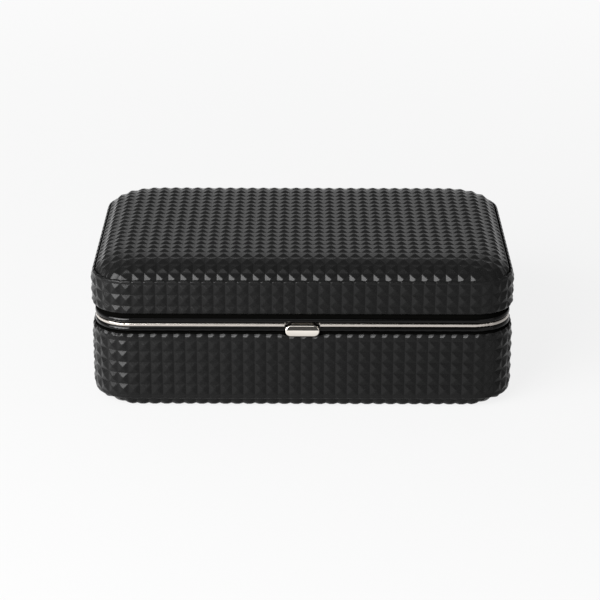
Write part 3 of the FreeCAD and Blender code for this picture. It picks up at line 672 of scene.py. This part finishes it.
def dress_nodes():
    """Finishes of the CAD nodes that stay."""
    finishes = {
        "base_frame": LACQUER, "lid_frame": LACQUER, "frame_trim": NICKEL,
        # The carcasses take the near-black board, painted shade for the grooves.
        "base_carcass": GROOVE_SHADE_BOARD, "lid_carcass": GROOVE_SHADE_BOARD, "lid_padding": WADDING,
        "mirror_glass": GLASS,
        "catch_housing": PLATED_STEEL, "catch_hook": PLATED_STEEL, "catch_slider": PLATED_STEEL,
    }
    for side in ("left", "right"):
        for part in ("base_hinge_leaf", "lid_hinge_leaf", "hinge_pin"):
            finishes[f"{part}_{side}"] = PLATED_STEEL
    for name, material in finishes.items():
        mesh = bpy.data.objects[name].data
        mesh.materials.clear()
        mesh.materials.append(material)


# The studio, in metres and degrees

FLOOR_REACH, CANOPY_RADIUS = 6.0, 3.0
# The floor's painted reflection and painted shade in gloss: a direction towards the key's side, and a
# steady share.
KEY_SIDE, KEY_STEADY = (0.55, 0.0, -0.45), 0.16
LAMP_AIM = Vector((0, 0, 0.04))
CAMERA_AIM = Vector((-0.0014, 0.0, 0.0345))
CAMERA_BACK, CAMERA_HIGH, CAMERA_TURN, CAMERA_ROLL = 1.131, 0.4823, -0.1, 0.11


def background_rays(tree):
    """1 for the rays that show the background: to the camera, in gloss and through glass."""
    path = add(tree, "ShaderNodeLightPath")
    seen = add(tree, "ShaderNodeMath", {"operation": "MAXIMUM"},
               i0=path.outputs["Is Camera Ray"], i1=path.outputs["Is Glossy Ray"])
    seen = add(tree, "ShaderNodeMath", {"operation": "MAXIMUM"},
               i0=seen.outputs[0], i1=path.outputs["Is Transmission Ray"])
    return seen.outputs[0]


def stage(name, points, shade):
    """A plain matt surface of the studio, from a grid of points in metres."""
    mesh = bpy.data.meshes.new(name)
    mesh.from_pydata(points.reshape(-1, 3).tolist(), [], quads(*points.shape[:2]).tolist())
    made = bpy.data.objects.new(name, mesh)
    bpy.context.scene.collection.objects.link(made)
    paper = bpy.data.materials.new(name)
    paper.use_nodes = True
    shader = paper.node_tree.nodes["Principled BSDF"]
    feed(paper.node_tree, shader, Base_Color=colour(shade), Roughness=0.9)
    mesh.materials.append(paper)
    return made


def surroundings():
    """A white world, dimmer as a light than it looks."""
    world = bpy.data.worlds.new("white_studio")
    bpy.context.scene.world = world
    world.use_nodes = True
    tree = world.node_tree
    tree.nodes.clear()
    power = add(tree, "ShaderNodeMapRange", None,
                Value=background_rays(tree), To_Min=0.45, To_Max=1.0)
    light = add(tree, "ShaderNodeBackground", None, Color=colour("#ffffff"), Strength=power.outputs[0])
    add(tree, "ShaderNodeOutputWorld", None, Surface=light.outputs[0])


def floor():
    """A pale floor that takes a faint shadow, and is pure white away from the case.

    In gloss its glow is painted light: a painted reflection of the key, brighter to the left, and
    painted shade of the case on the floor under it, dimmer from above; it changes by the ray's
    direction along KEY_SIDE, plus a steady share.
    """
    ends = (-FLOOR_REACH, FLOOR_REACH)
    x, y = np.meshgrid(ends, ends, indexing="ij")
    made = stage("studio_floor", np.stack([x, y, 0 * x], axis=-1), "#b4b4b4")
    made.active_material.cycles.emission_sampling = "NONE"
    tree = made.active_material.node_tree
    # Painted reflection and painted shade: in gloss the floor's glow rises towards the key and falls
    # for rays from above.
    ray = add(tree, "ShaderNodeNewGeometry").outputs["Incoming"]
    side = add(tree, "ShaderNodeVectorMath", {"operation": "DOT_PRODUCT"}, i0=ray, i1=KEY_SIDE)
    painted_light_gain = add(tree, "ShaderNodeMath", {"operation": "ADD"}, i0=side.outputs["Value"], i1=KEY_STEADY)
    gloss = add(tree, "ShaderNodeLightPath").outputs["Is Glossy Ray"]
    power = add(tree, "ShaderNodeMath", {"operation": "MULTIPLY_ADD"},
                i0=painted_light_gain.outputs[0], i1=gloss, i2=1.0)
    glow = add(tree, "ShaderNodeEmission", None, Color=colour("#ffffff"), Strength=power.outputs[0])
    spot = add(tree, "ShaderNodeTexCoord").outputs["Object"]
    away = add(tree, "ShaderNodeVectorMath", {"operation": "LENGTH"}, i0=spot).outputs["Value"]
    white = add(tree, "ShaderNodeMapRange", None,
                Value=away, From_Min=0.2, From_Max=1.4, To_Min=0.84, To_Max=1.0)
    share = add(tree, "ShaderNodeMath", {"operation": "MULTIPLY"},
                i0=background_rays(tree), i1=white.outputs[0])
    both = add(tree, "ShaderNodeMixShader", None, i0=share.outputs[0],
               i1=tree.nodes["Principled BSDF"].outputs[0], i2=glow.outputs[0])
    feed(tree, tree.nodes["Material Output"], Surface=both.outputs[0])


def canopy():
    """A dome that glows overhead, most at the back, and is dark behind the camera.

    The camera doesn't see it. Its lower edge lies two degrees under the horizon, and at the back one
    degree over it.
    """
    turns, rises = np.radians(np.linspace(0, 360, 37)), np.linspace(0, 1, 11)
    turn, rise = np.meshgrid(turns, rises, indexing="ij")
    low = np.radians(-2 + 3 * np.clip(np.sin(turn) * 1.6, 0, 1))
    rise = low + (math.pi / 2 - low) * rise
    dome = np.stack([np.cos(turn) * np.cos(rise), np.sin(turn) * np.cos(rise), np.sin(rise)], axis=-1)
    made = stage("grey_canopy", dome * CANOPY_RADIUS, "#404040")
    made.visible_camera = False
    made.active_material.cycles.emission_sampling = "NONE"
    tree = made.active_material.node_tree
    place = add(tree, "ShaderNodeTexCoord").outputs["Object"]
    place = add(tree, "ShaderNodeSeparateXYZ", None, Vector=place).outputs["Y"]
    across = add(tree, "ShaderNodeMapRange", None,
                 Value=place, From_Min=-CANOPY_RADIUS, From_Max=CANOPY_RADIUS)
    glow = add(tree, "ShaderNodeValToRGB", None, Fac=across.outputs[0])
    ramp = glow.color_ramp
    ramp.interpolation = "EASE"
    stops = ((0.10, "#424242"), (0.45, "#8a8a8a"), (0.80, "#a2a2a2"), (0.96, "#e0e0e0"))
    while len(ramp.elements) < len(stops):
        ramp.elements.new(0.5)
    for element, (position, shade) in zip(ramp.elements, stops):
        element.position = position
        element.color = colour(shade)
    feed(tree, tree.nodes["Principled BSDF"], Emission_Color=glow.outputs[0], Emission_Strength=1.0)


def lamps():
    """Soft lamps, each given by its place and size in metres and its power in watts."""
    for name, place, size, power in (
        ("softbox_left", (-0.748, -1.121, 0.708), (0.90, 0.95), 43.0),
        ("softbox_far_left", (-1.19, -0.62, 0.62), (0.45, 0.95), 11.0),
        ("bank_over_camera", (-0.13, -0.90, 1.10), (0.40, 0.40), 1.0),
        ("fill_right", (0.95, -1.1, 0.62), (1.2, 1.0), 3.0),
    ):
        lamp = bpy.data.lights.new(name, "AREA")
        lamp.shape = "RECTANGLE"
        lamp.size, lamp.size_y = size
        lamp.energy = power
        made = bpy.data.objects.new(name, lamp)
        made.location = place
        made.rotation_euler = (LAMP_AIM - Vector(place)).to_track_quat("-Z", "Y").to_euler()
        bpy.context.scene.collection.objects.link(made)


def camera():
    """The camera of the photograph, fitted to the corners of the case."""
    turn = math.radians(CAMERA_TURN)
    back = Vector((-math.sin(turn), -math.cos(turn), 0)) * CAMERA_BACK
    place = Vector((CAMERA_AIM.x + back.x, back.y, CAMERA_HIGH))
    lens = bpy.data.cameras.new("photograph")
    lens.lens = 128.05
    lens.sensor_width = 36.0
    lens.clip_start = 0.01
    made = bpy.data.objects.new("photograph", lens)
    made.location = place
    level = (CAMERA_AIM - place).to_track_quat("-Z", "Y")
    roll = Quaternion((0, 0, 1), math.radians(CAMERA_ROLL))
    made.rotation_euler = (level @ roll).to_euler()
    bpy.context.scene.collection.objects.link(made)
    bpy.context.scene.camera = made


leather_pieces()
linings()
ring_rolls()
dividers()
button_face()
bow_spring()
dress_nodes()

bpy.context.scene.view_settings.view_transform = "Standard"
surroundings()
floor()
canopy()
lamps()
camera()
